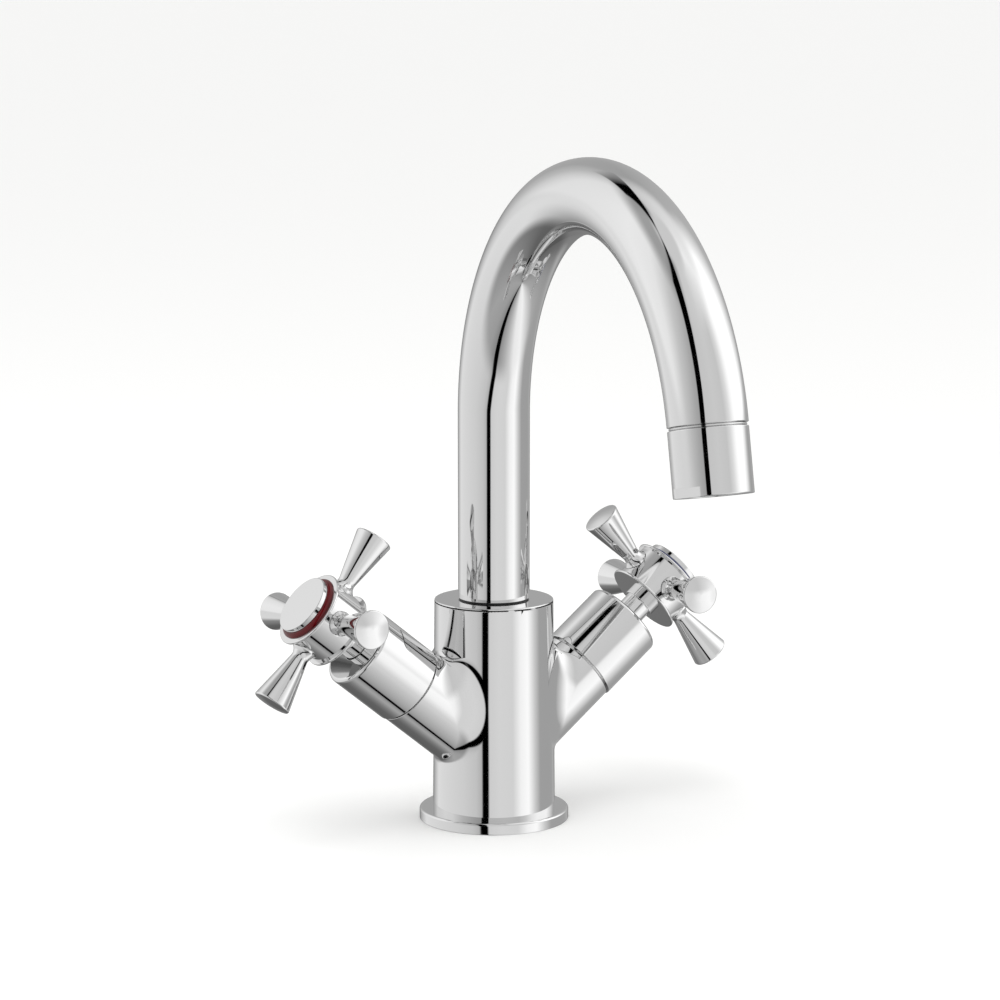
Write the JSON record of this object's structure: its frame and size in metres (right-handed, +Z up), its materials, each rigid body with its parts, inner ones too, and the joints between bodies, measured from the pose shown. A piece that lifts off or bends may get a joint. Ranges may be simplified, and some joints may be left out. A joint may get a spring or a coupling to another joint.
{
  "type": "basin mixer tap",
  "caption": "Deck-mounted basin mixer tap with two inclined arms, cross handles on ceramic valves and a swivelling swan-neck spout.",
  "frame": {"origin": "centre of the base ring's underside, on the deck", "axes": "+Z up, -Y towards the user and along the spout's straight-ahead direction, -X on the hot handle's side"},
  "size_m": [0.2066, 0.2351, 0.2652],
  "materials": {
    "chrome": "polished chrome plate on brass",
    "brass": "turned brass",
    "rubber": "matt black EPDM",
    "ceramic": "lapped alumina",
    "steel": "stainless steel",
    "slide_plastic": "dark acetal",
    "aerator_plastic": "moulded grey acetal",
    "hot_index": "glossy red enamel",
    "cold_index": "glossy blue enamel"
  },
  "bodies": {
    "faucet_body": {"mixer_body": "chrome", "base_ring": "chrome", "base_gasket": "rubber", "spout_slide_ring": "slide_plastic", "hot_sleeve": "chrome", "hot_bonnet": "brass", "hot_bonnet_seal": "rubber", "hot_fixed_disc": "ceramic", "hot_seat_washer": "rubber", "cold_sleeve": "chrome", "cold_bonnet": "brass", "cold_bonnet_seal": "rubber", "cold_fixed_disc": "ceramic", "cold_seat_washer": "rubber"},
    "hot_handle": {"hot_hub": "chrome", "hot_spoke_1": "chrome", "hot_spoke_2": "chrome", "hot_spoke_3": "chrome", "hot_spoke_4": "chrome", "hot_index_ring": "hot_index", "hot_cap": "chrome", "hot_handle_screw": "steel", "hot_spindle": "brass", "hot_turning_disc": "ceramic", "hot_spindle_seals": "rubber", "hot_circlip": "steel"},
    "cold_handle": {"cold_hub": "chrome", "cold_spoke_1": "chrome", "cold_spoke_2": "chrome", "cold_spoke_3": "chrome", "cold_spoke_4": "chrome", "cold_index_ring": "cold_index", "cold_cap": "chrome", "cold_handle_screw": "steel", "cold_spindle": "brass", "cold_turning_disc": "ceramic", "cold_spindle_seals": "rubber", "cold_circlip": "steel"},
    "spout": {"spout_tube": "chrome", "spout_foot": "brass", "spout_seals": "rubber", "spout_clip": "steel", "outlet_nipple": "brass", "aerator_collar": "chrome", "aerator_insert": "aerator_plastic", "aerator_washer": "rubber"}
  },
  "joints": [
    {"name": "hot_turn", "type": "hinge", "parent": "faucet_body", "child": "hot_handle", "pos_m": [0, 0, 0.0263], "axis": [-0.7771, 0, 0.6293], "range_deg": [0, 90]},
    {"name": "cold_turn", "type": "hinge", "parent": "faucet_body", "child": "cold_handle", "pos_m": [0, 0, 0.0263], "axis": [0.7771, 0, 0.6293], "range_deg": [-90, 0]},
    {"name": "spout_swivel", "type": "hinge", "parent": "faucet_body", "child": "spout", "pos_m": [0, 0, 0.088], "axis": [0, 0, 1], "range_deg": [-55.7, 64.3]}
  ]
}
